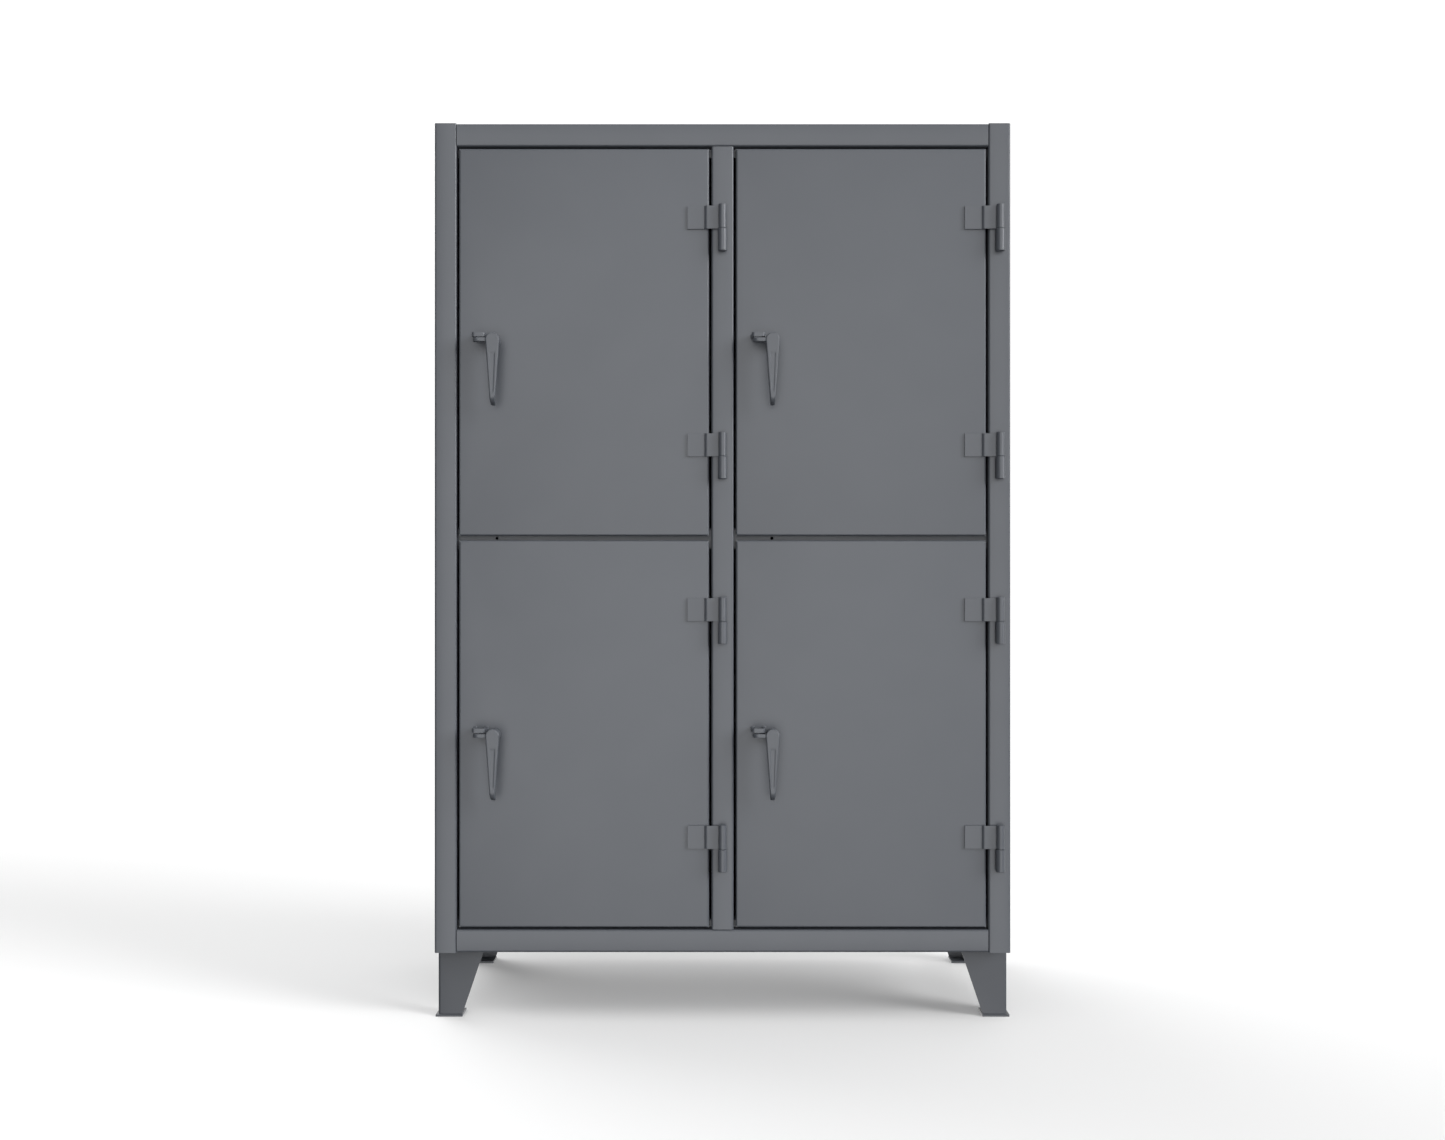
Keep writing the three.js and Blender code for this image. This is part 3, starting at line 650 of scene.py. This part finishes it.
def handle_mesh():
    """Cast lever, ear and boss in one skin, and the machined spindle behind them."""
    bm = bmesh.new()
    ear_y = EAR_RADIUS - EAR_OUT
    outline = [(0, ear_y - EAR_RADIUS), (0, ear_y + EAR_RADIUS)]
    outline += arc((-EAR_CENTRE, ear_y), EAR_RADIUS, math.pi / 2, math.pi, 28)
    add_prism(bm, scaled(outline), -EAR_THICKNESS / 2 * MM, EAR_THICKNESS / 2 * MM)
    ear = to_mesh("ear", bm)
    bm = bmesh.new()
    hole = arc((-EAR_CENTRE, ear_y), EAR_HOLE, 0, 2 * math.pi, 40)[:-1]
    add_prism(bm, scaled(hole), -EAR_THICKNESS * MM, EAR_THICKNESS * MM)
    ear = combined("ear", ear, to_mesh("ear_hole", bm), "DIFFERENCE")

    bm = bmesh.new()
    bm.from_mesh(ear)
    add_rings(bm, [lever_ring(*section) for section in lever_sections()])
    front = LEVER_THICKNESS / 2 - LEVER_OUT
    add_turned(
        bm,
        scaled([
            (0, front),
            (BOSS_RADIUS, front),
            (BOSS_RADIUS, -3.4),
            (BOSS_RADIUS - 1.0, -2.0),
            (BOSS_RADIUS - 1.0, -0.4),
            (0, -0.4),
        ]),
        64,
        "y",
    )
    casting = to_object("casting", to_mesh("casting", bm))
    skin = casting.modifiers.new("skin", "REMESH")
    skin.mode = "VOXEL"
    skin.voxel_size = VOXEL * MM
    skin.use_smooth_shade = True
    ease = casting.modifiers.new("ease", "SMOOTH")
    ease.factor = 0.5
    ease.iterations = 5
    casting = finished_mesh(casting)

    bm = bmesh.new()
    add_turned(
        bm,
        scaled([
            (0, -1.0),
            (SPINDLE_RADIUS, -1.0),
            (SPINDLE_RADIUS, SPINDLE_END - 0.8),
            (SPINDLE_RADIUS - 0.8, SPINDLE_END),
            (0, SPINDLE_END),
        ]),
        40,
        "y",
    )
    half, cut = SQUARE / 2, 1.0
    corners = [(half, half - cut), (half - cut, half), (cut - half, half), (-half, half - cut)]
    corners += [(-x, -z) for x, z in corners]
    add_prism(bm, scaled(corners), (SPINDLE_END - 1) * MM, SQUARE_END * MM, "y")
    bmesh.ops.recalc_face_normals(bm, faces=bm.faces)
    for face in bm.faces:
        face.material_index = 1
    bm.from_mesh(casting)
    mesh = bpy.data.meshes.new("handle")
    bm.to_mesh(mesh)
    bm.free()
    shade(mesh, [CAST, ZINC])
    return mesh


lever_mesh = handle_mesh()
for prefix in PREFIXES:
    node_name = f"{prefix}_handle"
    spot = joints[f"{prefix}_handle_turn"]["pos_m"]
    body = f"{prefix}_handle_unit"
    place_piece(lever_mesh.copy(), spot, body, node_name, 0)


# ---------------------------------------------------------------- floor and light

FLOOR_RADIUS = 3.6
FLOOR_WHITE, FLOOR_GLOW = 0.70, 0.19
bm = bmesh.new()
bmesh.ops.create_circle(bm, cap_ends=True, segments=96, radius=FLOOR_RADIUS)
floor = to_object("floor", to_mesh("floor", bm))
floor_material, tree, shader, _ = start_material("pale_floor")
shader.inputs["Base Color"].default_value = (FLOOR_WHITE, FLOOR_WHITE, FLOOR_WHITE, 1.0)
shader.inputs["Roughness"].default_value = 1.0
shader.inputs["Specular IOR Level"].default_value = 0.0
shader.inputs["Emission Color"].default_value = (1.0, 1.0, 1.0, 1.0)
shader.inputs["Emission Strength"].default_value = FLOOR_GLOW
clear = add_node(tree, "ShaderNodeBsdfTransparent")
seen = add_node(tree, "ShaderNodeLightPath").outputs["Is Camera Ray"]
both = add_node(tree, "ShaderNodeMixShader", Fac=seen)
tree.links.new(clear.outputs[0], both.inputs[1])
tree.links.new(shader.outputs[0], both.inputs[2])
tree.links.new(both.outputs[0], tree.nodes["Material Output"].inputs["Surface"])
floor.data.materials.append(floor_material)

# Light panels round the cabinet, far off. Each has the degrees that it covers, how soft its edges
# are, and its brightness. Azimuth 0 is in front of the doors and rises to the right. Elevation 0
# is level.
PANELS = (
    {"azimuth": (-23, 25), "elevation": (-29, 28), "edge": 14, "strength": 2.45},
    {"azimuth": (50, 76), "elevation": (4, 38), "edge": 12, "strength": 12.0},
    {"azimuth": (-165, -114), "elevation": (10, 40), "edge": 16, "strength": 4.4},
    {"azimuth": (-400, 400), "elevation": (52, 120), "edge": 20, "strength": 1.35},
    {"azimuth": (122, 400), "elevation": (-32, 22), "edge": 20, "strength": 1.4},
    {"azimuth": (-400, -122), "elevation": (-32, 22), "edge": 20, "strength": 1.4},
)
AMBIENT = 0.08
BACKDROP = 1.1

world = bpy.data.worlds.new("studio")
world.use_nodes = True
bpy.context.scene.world = world
tree = world.node_tree
tree.nodes.clear()


def maths(operation, first, second=0.0):
    node = add_node(tree, "ShaderNodeMath", {"operation": operation})
    for socket, value in zip(node.inputs, (first, second)):
        if isinstance(value, bpy.types.NodeSocket):
            tree.links.new(value, socket)
        else:
            socket.default_value = value
    return node.outputs[0]


def step_at(value, middle, edge):
    """0 below a place and 1 above it, with a smooth change across the edge. Degrees."""
    node = add_node(tree, "ShaderNodeMapRange", {"interpolation_type": "SMOOTHSTEP"}, Value=value)
    node.inputs["From Min"].default_value = math.radians(middle - edge / 2)
    node.inputs["From Max"].default_value = math.radians(middle + edge / 2)
    return node.outputs["Result"]


def window(value, low, high, edge):
    return maths("SUBTRACT", step_at(value, low, edge), step_at(value, high, edge))


direction = add_node(tree, "ShaderNodeTexCoord").outputs["Generated"]
along = add_node(tree, "ShaderNodeSeparateXYZ", Vector=direction).outputs
azimuth = maths("ARCTAN2", along["X"], maths("MULTIPLY", along["Y"], -1.0))
elevation = maths("ARCSINE", along["Z"])
total = AMBIENT
for panel in PANELS:
    across = window(azimuth, *panel["azimuth"], panel["edge"])
    up = window(elevation, *panel["elevation"], panel["edge"])
    total = maths("ADD", maths("MULTIPLY", maths("MULTIPLY", across, up), panel["strength"]), total)
lighting = add_node(tree, "ShaderNodeBackground", Color=(1, 1, 1, 1), Strength=total)
backdrop = add_node(tree, "ShaderNodeBackground", Color=(1, 1, 1, 1), Strength=BACKDROP)
seen = add_node(tree, "ShaderNodeLightPath").outputs["Is Camera Ray"]
mixed = add_node(tree, "ShaderNodeMixShader", Fac=seen)
tree.links.new(lighting.outputs[0], mixed.inputs[1])
tree.links.new(backdrop.outputs[0], mixed.inputs[2])
add_node(tree, "ShaderNodeOutputWorld", Surface=mixed.outputs[0])
